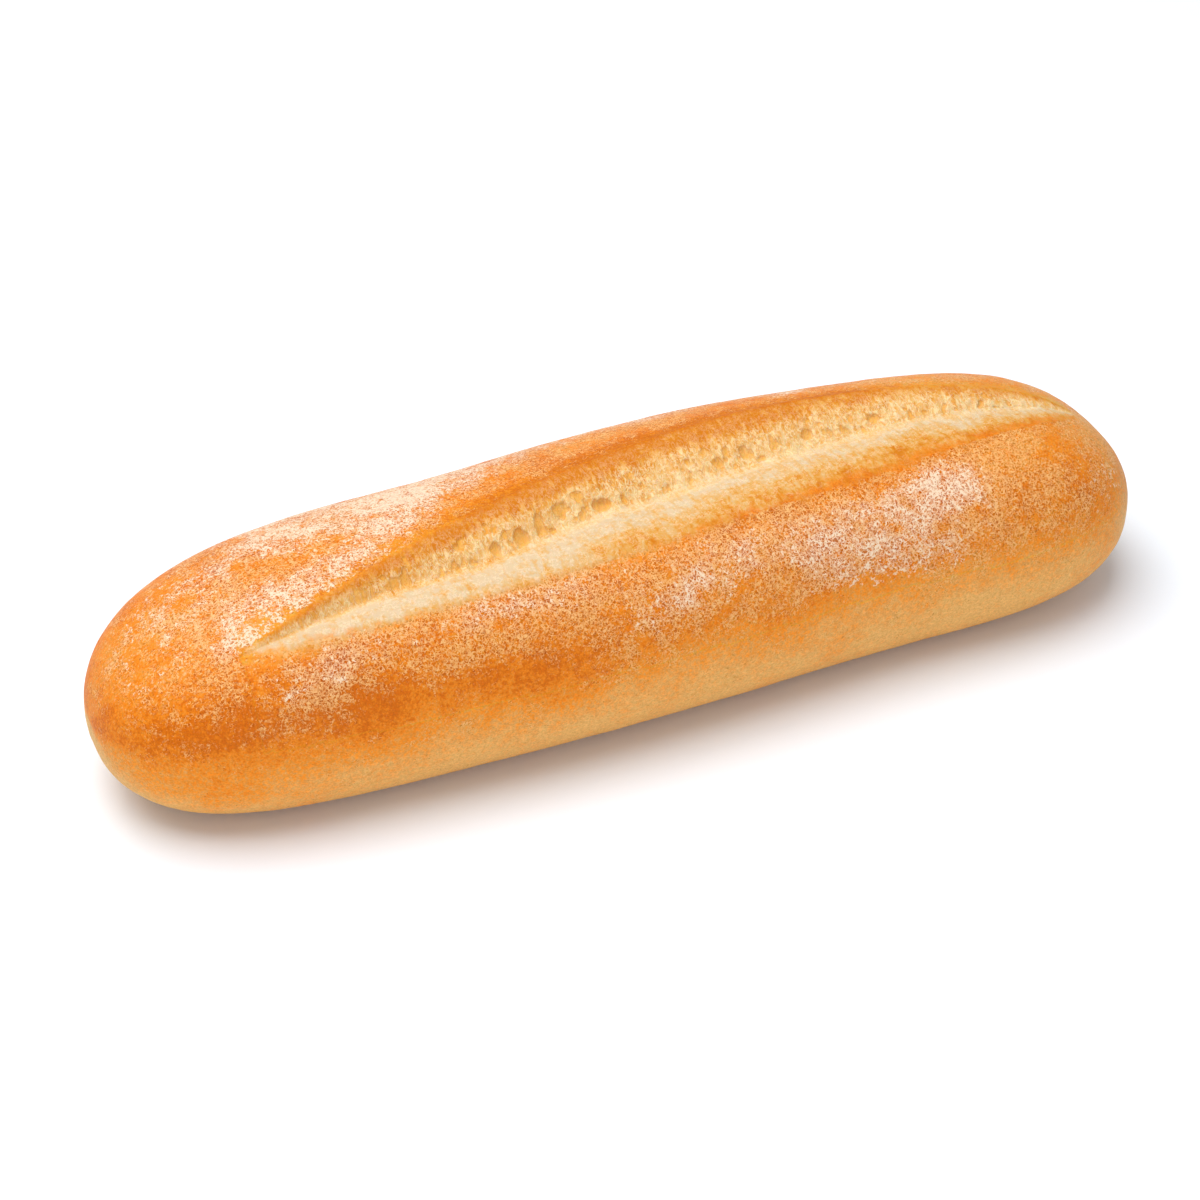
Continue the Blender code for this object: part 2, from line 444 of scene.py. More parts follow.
# %% [markdown]
# ## Browning
#
# The oven browned the shoulders most, because they faced the heat. The foot of the roll
# stayed pale, since it rose last and was shaded by the sheet. The dough that came out of
# the score late had less time still: it is cream in the cleft, golden towards both edges
# and deep orange under the ridge.
#
# Both are worked out for each vertex, as numbers from 0 to 1. A material can then turn
# them into colour with ramps. What no rule explains, such as a darker patch on one
# shoulder, is listed as a soft oval with its own middle and reach.

# %% Soft ovals
def ovals(rows, along, across):
    """Adds up soft ovals. A row holds the middle and the reach, both ways, and the strength."""
    total = 0.0
    for middle_along, middle_across, reach_along, reach_across, strength in rows:
        away = ((along - middle_along) / reach_along) ** 2
        away += ((across - middle_across) / reach_across) ** 2
        total += strength * math.exp(-away)
    return total


def hump(distance, reach):
    """1 where the distance is 0, falling away softly on both sides."""
    return math.exp(-((distance / reach) ** 2))


def rise_of(turn):
    """Degrees up from the widest line of the nearer side. Below that line it is negative."""
    return min(turn, 180 - turn)


# %% Where the crust browned
# Middle x, middle turn, reach along x, reach in degrees, and how much browner than around.
BROWN_SPOTS = (
    (-100, 18, 18, 12, 0.20),
    (-74, 24, 14, 12, 0.22),
    (-50, 14, 12, 8, 0.14),
    (-34, 18, 12, 10, 0.20),
    (40, 12, 22, 6, 0.10),
    (-52, 116, 12, 14, 0.10),
    (88, 44, 12, 12, 0.08),
    (-116, 90, 14, 60, -0.14),
    (-104, -18, 25, 16, 0.30),
    (118, -22, 14, 18, 0.25),
    (118, 60, 12, 80, -0.22),
    (60, 118, 20, 8, -0.10),
    (-93, 62, 8, 9, -0.16),
    (112, 84, 9, 20, -0.24),
    (20, 108, 60, 8, 0.10),
    (60, 9, 16, 7, -0.16),
    (104, 4, 14, 34, 0.12),
)
print(f"{len(BROWN_SPOTS)} spots that are browner or paler")

# %% How brown the crust is
# The foot's upper edge lies at this turn in the middle, rises by its slope towards the
# right end, and is this many degrees soft and wavy.
FOOT_EDGE = 0
FOOT_SLOPE = 6
FOOT_SOFTNESS = 24
FOOT_WAVE = 3
SHOULDER_BROWN = 0.76
SHOULDER_SLOPE = 0.06
CROWN_PALER = 0.12
RIDGE_BROWNER = 0.36
RIDGE_REACH = 5 * MM
LIP_PALER_LEFT = 0.50
LIP_PALER_RIGHT = -0.12
LIP_REACH = 2.2 * MM


def browning(point, turn, lip, ridge):
    """0 for the pale foot, 1 for the darkest crust."""
    rise = rise_of(turn)
    share = score_share(point.x)
    u = point.x / (LENGTH / 2)
    foot = FOOT_EDGE + FOOT_SLOPE * u + FOOT_WAVE * wave(point, 18)
    above_foot = smooth(rise, foot - FOOT_SOFTNESS, foot + FOOT_SOFTNESS)
    baked = (SHOULDER_BROWN - SHOULDER_SLOPE * u) * above_foot
    baked -= CROWN_PALER * smooth(rise, 35, 65)
    baked += ovals(BROWN_SPOTS, point.x / MM, turn)
    middle = smooth(point.x, -60 * MM, -30 * MM) * (1 - smooth(point.x, 50 * MM, 80 * MM))
    baked += RIDGE_BROWNER * middle * hump(ridge, RIDGE_REACH)
    paler_lip = lerp(LIP_PALER_LEFT, LIP_PALER_RIGHT, smooth(share, 0.38, 0.56))
    baked -= paler_lip * smooth(share, 0.0, 0.05) * hump(lip, LIP_REACH)
    baked += 0.16 * wave(point, 14, seed=1.0) + 0.13 * wave(point, 6, seed=2.0)
    return clamp(baked)


# %% Where the crumb took colour
# Share along the score, place across it, reach of both, and how much more golden.
GOLD_SPOTS = (
    (0.217, -0.72, 0.020, 0.14, 0.30),
    (0.410, -0.80, 0.036, 0.20, 0.34),
    (0.496, -0.92, 0.035, 0.12, 0.10),
    (0.558, -0.62, 0.028, 0.22, 0.16),
    (0.600, -0.86, 0.030, 0.14, -0.14),
    (0.650, -0.62, 0.022, 0.20, 0.12),
    (0.760, -0.62, 0.050, 0.25, 0.22),
    (0.320, -0.55, 0.020, 0.25, 0.10),
    (0.100, -0.80, 0.060, 0.50, -0.25),
    (0.920, -0.40, 0.050, 0.40, 0.20),
)
print(f"{len(GOLD_SPOTS)} spots that are more golden or creamier")

# %% How golden the crumb is
# On the bed the gold starts nearer the cleft, and is full nearer the lip, towards the
# right. Each pair holds the value at the left and at the right of the score.
BED_GOLD_START = (0.62, 0.22)
BED_GOLD_END = (1.75, 1.25)
BED_GOLD_LEAST = (0.02, 0.12)
BED_GOLD = 0.85
CLEFT_GOLD = 0.36
WALL_GOLD_LEAST = 0.20
WALL_GOLD_ENDS = 0.84
WALL_GOLD_MIDDLE = 0.94
WALL_GOLD_LEFT = 0.12
RIDGE_GOLD = 0.50
RIDGE_GOLD_REACH = 3.4 * MM
WALL_PATCHES = 1.2


def bed_gold(share, across, patches):
    """How golden the bed is, from its place along and across the score."""
    start = lerp(*BED_GOLD_START, smooth(share, 0.25, 0.6))
    end = lerp(*BED_GOLD_END, smooth(share, 0.25, 0.7))
    gold = lerp(*BED_GOLD_LEAST, smooth(share, 0.35, 0.55))
    gold += BED_GOLD * smooth(-across, start, end)
    gold += CLEFT_GOLD * (1 - smooth(share, 0.28, 0.40)) * smooth(across, -0.34, 0.0)
    return gold + patches * smooth(-across, 0.1, 0.5)


def wall_gold(share, across, ridge, patches):
    """How golden the wall is. Under the ridge, in the middle of the score, it is darkest."""
    most = lerp(WALL_GOLD_ENDS, WALL_GOLD_MIDDLE, hump(share - 0.5, 0.2))
    gold = lerp(WALL_GOLD_LEAST, most, smooth(across, 0.05, 1.05))
    gold += WALL_GOLD_LEFT * (1 - smooth(share, 0.20, 0.34))
    middle = smooth(share, 0.10, 0.36) * (1 - smooth(share, 0.62, 0.74))
    gold += RIDGE_GOLD * middle * hump(ridge, RIDGE_GOLD_REACH)
    return gold + WALL_PATCHES * patches * smooth(across, 0.1, 0.5)


def goldening(share, across, ridge, point):
    """0 for cream crumb, 1 for the deep orange under the ridge."""
    patches = 0.14 * wave(point, 6, seed=3.0) + 0.10 * wave(point, 2.5, seed=4.0)
    patches += ovals(GOLD_SPOTS, share, across)
    if across < 0:
        return clamp(bed_gold(share, across, patches))
    return clamp(wall_gold(share, across, ridge, patches))


# %% [markdown]
# ## Flour
#
# Flour was thrown on by hand and lies in drifts. Each drift is an oval with its own middle
# and size, noise breaks its rim up, and the material draws the grains. Nothing lies below
# the widest line, where flour finds no hold, nor on the crumb, which opened later.

# %% Where the flour lies
# Middle x, middle turn, reach along x, reach in degrees, and the share that is covered.
FLOUR_DRIFTS = (
    (67, 44, 9, 8, 0.48),
    (56, 31, 18, 11, 0.28),
    (35, 33, 10, 9, 0.28),
    (44, 18, 16, 7, 0.14),
    (6, 30, 11, 8, 0.22),
    (16, 40, 14, 8, 0.12),
    (-8, 23, 9, 9, 0.09),
    (-28, 40, 26, 9, 0.14),
    (-76, 38, 14, 8, 0.12),
    (112, 30, 12, 30, 0.10),
    (-50, 120, 9, 11, 0.85),
    (-41, 130, 10, 8, 0.36),
    (-53, 97, 8, 9, 0.40),
    (-62, 84, 8, 8, 0.36),
    (-77, 121, 9, 8, 0.38),
    (-80, 75, 12, 9, 0.42),
    (-88, 64, 12, 9, 0.24),
    (-94, 88, 12, 16, 0.05),
    (-72, 136, 16, 9, 0.46),
    (-25, 132, 13, 10, 0.28),
    (10, 137, 30, 9, 0.26),
    (49, 130, 6, 8, 0.34),
    (112, 112, 10, 20, 0.12),
    (75, 122, 24, 10, 0.10),
    (-60, 150, 30, 14, 0.34),
    (25, 152, 40, 14, 0.24),
    (85, 148, 24, 14, 0.14),
    (-76, 112, 18, 12, 0.26),
    (-40, 118, 14, 10, 0.34),
    (-58, 108, 16, 12, 0.24),
    (-90, 54, 9, 7, 0.22),
    (48, 42, 8, 6, 0.18),
    (-84, 30, 7, 6, 0.12),
    (-106, 104, 14, 28, 0.16),
    (-114, 60, 10, 22, 0.08),
    (-94, 60, 7, 9, 0.12),
    (112, 84, 9, 18, 0.10),
    (-42, 42, 7, 6, 0.12),
    (62, 13, 12, 7, 0.10),
)


def flour_share(point, turn):
    """The share of the crust that the drifts of flour cover here, from 0 to 1."""
    drifts = ovals(FLOUR_DRIFTS, point.x / MM, turn)
    clumps = clamp(1 + 0.9 * wave(point, 5, seed=5.0) + 0.6 * wave(point, 2, seed=6.0), 0.1, 2.0)
    held = smooth(rise_of(turn), 0, 14)
    return clamp(drifts * clumps * held)


print(f"{len(FLOUR_DRIFTS)} drifts of flour")


# %% Where stray specks lie
# Middle x, middle turn, reach along x, reach in degrees, and how many fewer specks.
BARE_PATCHES = (
    (-34, 17, 12, 8, 0.24),
    (-66, 15, 13, 9, 0.30),
    (-102, 22, 14, 12, 0.22),
    (40, 10, 16, 5, 0.16),
    (-16, 44, 7, 6, 0.18),
    (-92, 62, 8, 8, 0.30),
)
FOOT_SPECKS = 0.08
FLANK_SPECKS = 0.14
NEAR_SPECKS = 0.36
FAR_SPECKS = 0.24
RIDGE_BARER = 0.28
FAR_MM = 9  # stands for every greater distance from the lip or the ridge


def specks_share(point, turn, ridge):
    """The share that is covered with stray pale specks, from 0 to 1."""
    rise = rise_of(turn)
    from_end = LENGTH / 2 - abs(point.x)
    shoulder = smooth(rise, 2, 30) * smooth(from_end, 2 * MM, 36 * MM)
    share = FOOT_SPECKS + FLANK_SPECKS * smooth(rise, -12, 10)
    share += lerp(NEAR_SPECKS, FAR_SPECKS, smooth(turn, 84, 96)) * shoulder
    share += 0.22 * wave(point, 12, seed=7.0) + 0.26 * wave(point, 4, seed=8.0)
    share -= ovals(BARE_PATCHES, point.x / MM, turn)
    if ridge > -FAR_MM * MM:
        share -= RIDGE_BARER * hump(ridge, RIDGE_REACH)
    return clamp(share)


# %% [markdown]
# ## From rules to vertices
#
# Each vertex is visited once. Its place decides which of the rules above hold there. Their
# height moves it along its normal, and the other numbers are stored on it, each under a
# name that the material can read.

# %% Height of the crumb
CRUMB_BLEND = 1.5 * MM


def crumb_height(point, beyond, across, wall):
    """The torn crumb over the smooth solid, and how far inside a pore this lies."""
    inside = 0.0
    if beyond < 0:
        torn = bed_height(point.x, beyond, across)
    else:
        torn, inside = wall_height(point.x, point.y, beyond, across)
    opened = smooth(wall, 1.5 * MM, 6 * MM)
    return opened * (torn + cleft_height(point.x, beyond)), inside


# %% Beside the crumb
LIP_CLEAR = 0.78 * MM
RIDGE_CLEAR = 1.3 * MM
LIP_FRINGE = 1.2
TIP_FADE = 2.6


def clear_of_crumb(share, lip, ridge):
    """0 on the crust's torn edge, where nothing clings, and 1 a little away from it."""
    width = LIP_CLEAR if lip < ridge else RIDGE_CLEAR * (1 + smooth(share, 0.25, 0.40))
    clear = smooth(-min(lip, ridge), 0.0, width)
    return lerp(1.0, clear, smooth(share, 0.0, 0.04))


def lip_distance(share, lip):
    """Millimetres past the near lip, divided by how soft the change to crumb is there.

    It is crisp only in the left half of the score, where crumb also spills over the lip.
    """
    softness = lerp(2.6, 1.0, smooth(share, 0.06, 0.2)) + 1.8 * smooth(share, 0.42, 0.62)
    spill = LIP_FRINGE * (1 - smooth(share, 0.42, 0.62))
    spill -= TIP_FADE * (1 - smooth(share, 0.0, 0.07))
    return clamp(lip / MM + spill, -FAR_MM, FAR_MM) / softness


# %% Finish one vertex
FIELDS = ("browning", "gold", "flour", "specks", "torn", "lip_mm", "ridge_mm", "pore", "base")
BASE_EDGE = 0.3 * MM
FLOUR_SPECKS = 0.8
field = {name: bm.verts.layers.float.new(name) for name in FIELDS}


def finish_vertex(vert):
    """Moves the vertex to the finished surface and stores what the material needs there."""
    point = vert.co.copy()
    turn = turn_round(point)
    share = score_share(point.x)
    cleft, bed, wall = score_lines(point.x)
    beyond = point.y - cleft
    scored = point.z > HEIGHT / 2 and 0 < share < 1
    lip = beyond + bed if scored else -FAR_MM * MM
    ridge = wall - beyond if scored else -FAR_MM * MM
    across = clamp(beyond / max(bed if beyond < 0 else wall, MM), -2, 2)

    height, inside = crust_height(point), 0.0
    crumb = smooth(min(lip, ridge), 0.0, CRUMB_BLEND)
    if crumb > 0:
        torn, inside = crumb_height(point, beyond, across, wall)
        height = lerp(height, torn, crumb)
    if scored:
        height += crust_edge_height(lip, ridge) * smooth(bed, 3 * MM, 9 * MM)
    height *= smooth(point.z, BASE_EDGE, 5 * MM)
    vert.co = point + vert.normal * height

    clear = clear_of_crumb(share, lip, ridge) if scored else 1.0
    flour = clear * flour_share(point, turn)
    specks = clear * specks_share(point, turn, ridge)
    numbers = {
        "browning": browning(point, turn, lip, ridge),
        "gold": goldening(share, across, ridge, point),
        "flour": flour,
        "specks": clamp(specks + FLOUR_SPECKS * flour),
        "torn": torn_share(across + 0.14 * wave(point, 2.5, seed=12.0)),
        "lip_mm": lip_distance(share, lip),
        "ridge_mm": clamp(ridge / MM, -FAR_MM, FAR_MM),
        "pore": inside,
        "base": 1 - smooth(point.z, 0.0, 3 * MM),
    }
    for name, number in numbers.items():
        vert[field[name]] = number


# %% Finish them all
bm.normal_update()
for vert in bm.verts:
    finish_vertex(vert)
bm.to_mesh(roll.data)
bm.free()
roll.data.shade_smooth()
print(f"{len(roll.data.vertices)} vertices moved")

# %% [markdown]
# ## Short words for nodes
#
# A material is a graph of nodes. Written out in full, each node takes three or four lines,
# and the idea is lost among them. This small helper makes a node, sets or joins its inputs
# and hands back its output, so that a recipe reads like a formula.

# %% A helper for materials
class Finish:
    """A new material, with short calls that add nodes to it."""

    def __init__(self, name):
        self.material = bpy.data.materials.new(name)
        self.material.use_nodes = True
        self.tree = self.material.node_tree
        self.shader = self.tree.nodes["Principled BSDF"]

    def put(self, socket, value):
        """Joins another node's output to the socket, or sets a plain value on it."""
        if isinstance(value, bpy.types.NodeSocket):
            self.tree.links.new(value, socket)
        else:
            socket.default_value = value

    def set(self, **values):
        """Sets the shader's own sockets. A name's underscores stand for spaces."""
        for name, value in values.items():
            self.put(self.shader.inputs[name.replace("_", " ")], value)

    def add(self, kind, out=0, inputs=(), **settings):
        node = self.tree.nodes.new(kind)
        for key, value in settings.items():
            setattr(node, key, value)
        for key, value in dict(inputs).items():
            self.put(node.inputs[key], value)
        return node.outputs[out]

    def field(self, name):
        """A number that is stored on the mesh's vertices."""
        return self.add("ShaderNodeAttribute", out="Fac", attribute_name=name)

    def place(self, stretch=(1, 1, 1)):
        """The point on the object, scaled by stretch."""
        point = self.add("ShaderNodeTexCoord", out="Object")
        return self.add("ShaderNodeMapping", inputs={"Vector": point, "Scale": stretch})

    def grain(self, size, detail=2.0, rough=0.5, stretch=(1, 1, 1), warp=0.0):
        """Noise from 0 to 1 with lumps of this size in metres."""
        settings = {"Vector": self.place(stretch), "Scale": 1 / size}
        settings.update({"Detail": detail, "Roughness": rough, "Distortion": warp})
        return self.add("ShaderNodeTexNoise", out="Fac", inputs=settings)

    def calc(self, operation, a, b=0.0, c=0.0):
        return self.add("ShaderNodeMath", operation=operation, inputs={0: a, 1: b, 2: c})

    def times(self, product, *others):
        """The product of two or more numbers."""
        for other in others:
            product = self.calc("MULTIPLY", product, other)
        return product

    def step(self, value, start, end, low=0.0, high=1.0):
        """A smooth step from low to high as the value goes from start to end."""
        settings = {"Value": value, "From Min": start, "From Max": end, "To Min": low, "To Max": high}
        return self.add("ShaderNodeMapRange", interpolation_type="SMOOTHSTEP", inputs=settings)

    def ramp(self, value, stops):
        """A colour for the value, between (place, colour) stops."""
        node = self.tree.nodes.new("ShaderNodeValToRGB")
        elements = node.color_ramp.elements
        while len(elements) < len(stops):
            elements.new(0.5)
        for element, (position, shade) in zip(elements, stops):
            element.position = position
            element.color = shade
        self.put(node.inputs["Fac"], value)
        return node.outputs["Color"]

    def mix(self, share, first, second, blend="MIX"):
        node = self.tree.nodes.new("ShaderNodeMix")
        node.data_type = "RGBA"
        node.blend_type = blend
        self.put(node.inputs[0], share)
        self.put(node.inputs[6], first)
        self.put(node.inputs[7], second)
        return node.outputs[2]

    def tint(self, shade, by, share=1.0):
        """The shade multiplied by a tint, as far as the share says."""
        return self.mix(share, shade, by, blend="MULTIPLY")


def colour(red, green, blue):
    """A colour as it reads on screen, from 0 to 255, as the linear values that a shader wants."""

    def linear(value):
        value /= 255
        return value / 12.92 if value <= 0.04045 else ((value + 0.055) / 1.055) ** 2.4

    return (linear(red), linear(green), linear(blue), 1.0)


# %% [markdown]
# ## Crust, crumb and flour in one material
#
# The roll is one loaf, and its finishes run into each other, so one material holds them all
# and mixes them by the numbers on the vertices. The order is the order in which they came
# about: the crust, then the crumb that tore through it, and the flour on what was crust.
#
# Under a lens the crust isn't an even brown. It is covered with fine, pale curls, a few
# tenths of a millimetre wide: flakes of its own skin and strands of flour. The walls of a
# Voronoi net are lines as thin as that, but straight. So noise pushes the point about
# before the net is read, which bends them into curls, and a second noise keeps only some.
# How many are kept is one of the numbers on the vertices. Still finer lines come from noise
# alone, which has its middle value along winding lines.

# %% Lines and spots
bread = Finish("bread")


def winding_lines(size, width, warp=0.4, stretch=(1, 1, 1)):
    """1 along the lines on which noise has its middle value, 0 between them."""
    noise_value = bread.grain(size, detail=1.0, warp=warp, stretch=stretch)
    off_line = bread.calc("ABSOLUTE", bread.calc("SUBTRACT", noise_value, 0.5))
    return bread.step(off_line, 0.4 * width, width, 1.0, 0.0)


def bent_place(size, reach):
    """The point on the object, pushed about by noise, so that straight lines turn into curls."""
    settings = {"Vector": bread.place(), "Scale": 1 / size, "Detail": 1.0}
    push = bread.add("ShaderNodeTexNoise", out="Color", inputs=settings)
    middle = (0.5, 0.5, 0.5)
    push = bread.add("ShaderNodeVectorMath", operation="SUBTRACT", inputs={0: push, 1: middle})
    push = bread.add("ShaderNodeVectorMath", operation="SCALE", inputs={0: push, "Scale": reach})
    return bread.add("ShaderNodeVectorMath", operation="ADD", inputs={0: bread.place(), 1: push})


def off_curl(size, bend):
    """How far this lies from the nearest curl, as a share of the size of the net's cells."""
    settings = {"Vector": bent_place(0.9 * size, bend * size), "Scale": 1 / size}
    return bread.add("ShaderNodeTexVoronoi", feature="DISTANCE_TO_EDGE", inputs=settings)


def scatter(size, share):
    """1 in spots that cover about this share of the surface, 0 elsewhere."""
    spots = bread.grain(size, detail=2.0, rough=0.6)
    return bread.step(bread.calc("MULTIPLY_ADD", share, 0.46, spots), 0.64, 0.76)


# %% Specks
CURL_SIZE = 0.95 * MM
CURL_BEND = 2.2

mottle = bread.grain(1.8 * MM, detail=3.0, rough=0.6)
clumps = bread.grain(2.8 * MM, detail=3.0, rough=0.6)
speck_share = bread.calc("ADD", bread.field("specks"), bread.step(clumps, 0.3, 0.7, -0.16, 0.16))
speck_spots = scatter(0.6 * MM, speck_share)
off_speck = off_curl(CURL_SIZE, CURL_BEND)
curl_specks = bread.times(bread.step(off_speck, 0.05, 0.15, 1.0, 0.0), speck_spots)
fine_specks = bread.times(winding_lines(0.60 * MM, 0.07), scatter(0.9 * MM, speck_share), 0.5)
specks = bread.calc("MAXIMUM", curl_specks, fine_specks)
# painted shade: a thin ring just outside each curl, darkened as if the speck shaded the crust
painted_shade_by_specks = bread.times(bread.step(off_speck, 0.15, 0.26), speck_spots)
print(f"curls in a net of {CURL_SIZE / MM} mm")

# %% Browned crust
tooth = bread.grain(0.75 * MM, detail=2.0, rough=0.6, warp=0.3)
browning_here = bread.field("browning")
browned = bread.calc("ADD", browning_here, bread.step(mottle, 0.25, 0.75, -0.14, 0.14))
tooth_depth = bread.step(browning_here, 0.1, 0.6, 0.09, 0.26)
browned = bread.calc("MULTIPLY_ADD", bread.step(tooth, 0.25, 0.75, -1.0, 1.0), tooth_depth, browned)
crust = bread.ramp(
    browned,
    (
        (0.00, colour(226, 173, 99)),
        (0.25, colour(230, 160, 80)),
        (0.50, colour(234, 145, 46)),
        (0.75, colour(230, 128, 20)),
        (1.00, colour(206, 102, 6)),
    ),
)

# %% Crust beside the ridge, and painted light and shade on its grain
# The crust on the far side of the ridge is more yellow. Between specks it is darker.
RIDGE_TINT = (0.94, 1.10, 0.76, 1.0)
GAP_TINT = (0.88, 0.85, 0.62, 1.0)
GRAIN_PAINTED_LIGHT_AND_SHADE = (
    (0.30, (0.90, 0.84, 0.76, 1.0)),
    (0.50, (0.98, 0.97, 0.95, 1.0)),
    (0.68, (1.10, 1.10, 1.12, 1.0)),
)
DUST_TINTS = (
    (0.32, (0.90, 0.86, 0.80, 1.0)),
    (0.50, (1.00, 1.00, 1.00, 1.0)),
    (0.68, (1.08, 1.12, 1.20, 1.0)),
)

ridge_mm = bread.field("ridge_mm")
past_crease = bread.step(ridge_mm, 1.0, 3.0, 1.0, 0.0)
near_ridge = bread.times(bread.step(ridge_mm, -7.0, -0.5), past_crease)
crust = bread.tint(crust, RIDGE_TINT, near_ridge)
crust = bread.tint(crust, GAP_TINT, bread.step(speck_share, 0.1, 0.9))
# painted light and shade: the grain is darkened in its low spots and lightened on its tops, following
# the noise of its bump
crust = bread.tint(crust, bread.ramp(tooth, GRAIN_PAINTED_LIGHT_AND_SHADE))
crust = bread.tint(crust, bread.ramp(bread.grain(0.42 * MM, detail=1.0), DUST_TINTS))

# %% Specks on the crust
# Each pale speck has a thin painted shade just beside it, which makes it look paler still.
# Where flour fell, the specks are flour, and elsewhere flakes of golden skin.
PAINTED_SHADE_BESIDE_SPECKS = (0.74, 0.64, 0.38, 1.0)
FLAKE = colour(237, 184, 117)
FLOURY_FLAKE = colour(239, 211, 178)

# the painted shade beside the specks darkens the crust there
crust = bread.tint(crust, PAINTED_SHADE_BESIDE_SPECKS, bread.times(painted_shade_by_specks, 0.95))
speck_colour = bread.mix(bread.step(bread.field("flour"), 0.0, 0.35), FLAKE, FLOURY_FLAKE)
varied = bread.step(bread.grain(1.0 * MM, detail=1.0), 0.3, 0.7, 0.6, 1.0)
speck_strength = bread.times(varied, bread.step(speck_share, 0.0, 0.6, 0.40, 1.0))
crust = bread.mix(bread.times(specks, speck_strength), crust, speck_colour)

# %% Crumb
# Fluff, clouds and strands make the crumb now creamier, now more golden. The strands run
# across the score, as the dough was drawn out.
torn = bread.field("torn")
gold = bread.field("gold")
fluff = bread.grain(0.9 * MM, detail=3.0, rough=0.6, warp=0.8, stretch=(1, 0.75, 0.75))
cloud = bread.grain(3.2 * MM, detail=4.0, rough=0.6, warp=0.6, stretch=(0.7, 1, 1))
strands = bread.grain(1.1 * MM, detail=2.0, rough=0.6, stretch=(1, 0.18, 0.3))
golden = bread.calc("ADD", gold, bread.step(cloud, 0.3, 0.7, -0.16, 0.20))
golden = bread.calc("ADD", golden, bread.step(fluff, 0.25, 0.75, 0.18, -0.18))
golden = bread.calc("ADD", golden, bread.step(strands, 0.3, 0.7, 0.16, -0.16))
soft_crumb = bread.ramp(
    golden,
    (
        (0.00, colour(215, 188, 150)),
        (0.30, colour(217, 173, 114)),
        (0.55, colour(218, 158, 77)),
        (0.80, colour(213, 138, 43)),
        (1.00, colour(205, 120, 23)),
    ),
)
torn_crumb = bread.ramp(
    golden,
    (
        (0.00, colour(246, 205, 133)),
        (0.35, colour(242, 181, 94)),
        (0.70, colour(221, 143, 48)),
        (1.00, colour(208, 120, 23)),
    ),
)
crumb = bread.mix(bread.times(torn, 0.55), soft_crumb, torn_crumb)

# %% Tufts, strings, and painted shade in the pores
TUFT = colour(250, 228, 192)
STRING = colour(255, 230, 180)
PORE_PAINTED_SHADE = colour(236, 172, 76)
PORE_RIM_PAINTED_SHADE = colour(204, 128, 44)

pale = bread.step(gold, 0.45, 0.85, 1.0, 0.40)
tufts = bread.times(winding_lines(0.7 * MM, 0.08, warp=0.8), scatter(1.6 * MM, 0.45), pale, 0.32)
crumb = bread.mix(tufts, crumb, TUFT)
strings = winding_lines(0.85 * MM, 0.07, warp=0.7, stretch=(1, 0.5, 0.5))
strings = bread.times(strings, torn, pale, 0.5)
crumb = bread.mix(strings, crumb, STRING)
pore = bread.field("pore")
# painted shade: the inside of each pore is painted a darker gold
crumb = bread.mix(bread.times(pore, 0.8), crumb, PORE_PAINTED_SHADE)
# painted shade: a darker ring round the edge of each pore
rim = bread.times(bread.step(pore, 0.05, 0.3), bread.step(pore, 0.35, 0.7, 1.0, 0.0), 0.4)
crumb = bread.mix(rim, crumb, PORE_RIM_PAINTED_SHADE)

# %% Where crumb meets crust
lip_mm = bread.field("lip_mm")
ragged = bread.step(bread.grain(2.2 * MM, detail=3.0), 0.3, 0.7, -0.5, 0.5)
past_lip = bread.step(bread.calc("ADD", lip_mm, ragged), -0.7, 1.1)
past_ridge = bread.step(bread.calc("ADD", ridge_mm, ragged), -1.2, 0.8)
is_crumb = bread.times(past_lip, past_ridge)
surface = bread.mix(is_crumb, crust, crumb)

# %% Flour
# Thin flour shows as curls along the same net as the specks. Thick flour is also powder.
FLOUR = colour(239, 215, 185)

flour = bread.times(bread.field("flour"), bread.calc("SUBTRACT", 1.0, is_crumb))
heaped = bread.times(flour, bread.step(clumps, 0.32, 0.68, 0.4, 1.7))
curls = bread.times(bread.step(off_speck, 0.08, 0.20, 1.0, 0.0), scatter(1.2 * MM, heaped))
curls = bread.times(curls, bread.step(heaped, 0.02, 0.15), 0.9)
powder = bread.step(heaped, 0.2, 1.6, 0.0, 0.62)
dusted = bread.calc("MAXIMUM", curls, powder)
surface = bread.mix(dusted, surface, FLOUR)

# %% Base
# The base lay on the hot sheet, so it is browner, and mottled.
base = bread.mix(bread.step(mottle, 0.35, 0.65), colour(188, 116, 52), colour(206, 140, 74))
surface = bread.mix(bread.times(bread.field("base"), 0.75), surface, base)

# %% Sheen and fine bump
# What is about as fine as the mesh's own edges is left to a bump of a tenth of a
# millimetre. Crumb and flour are dull, and light goes a little way into the crumb.
BUMP_HEIGHT = 0.12 * MM
CRUST_ROUGHNESS = 0.5
DULL_ROUGHNESS = 0.85

dull = bread.calc("MAXIMUM", dusted, is_crumb)
opened = bread.times(bread.step(lip_mm, -0.5, 0.5), bread.step(ridge_mm, -0.5, 0.5))
relief = bread.times(fluff, opened, 1.3)
for layer, strength in ((strings, 1.2), (mottle, 0.8), (tooth, 1.4)):
    relief = bread.calc("MULTIPLY_ADD", layer, strength, relief)
bump = bread.add("ShaderNodeBump", inputs={"Strength": 1.0, "Distance": BUMP_HEIGHT, "Height": relief})
bread.set(
    Base_Color=surface,
    Roughness=bread.step(dull, 0.0, 1.0, CRUST_ROUGHNESS, DULL_ROUGHNESS),
    Subsurface_Weight=bread.step(is_crumb, 0.0, 1.0, 0.10, 0.35),
    Subsurface_Radius=(1.6 * MM, 0.8 * MM, 0.35 * MM),
    Subsurface_Scale=1.0,
    Specular_IOR_Level=0.10,
    Normal=bump,
)
print(f"the bread material has {len(bread.tree.nodes)} nodes")

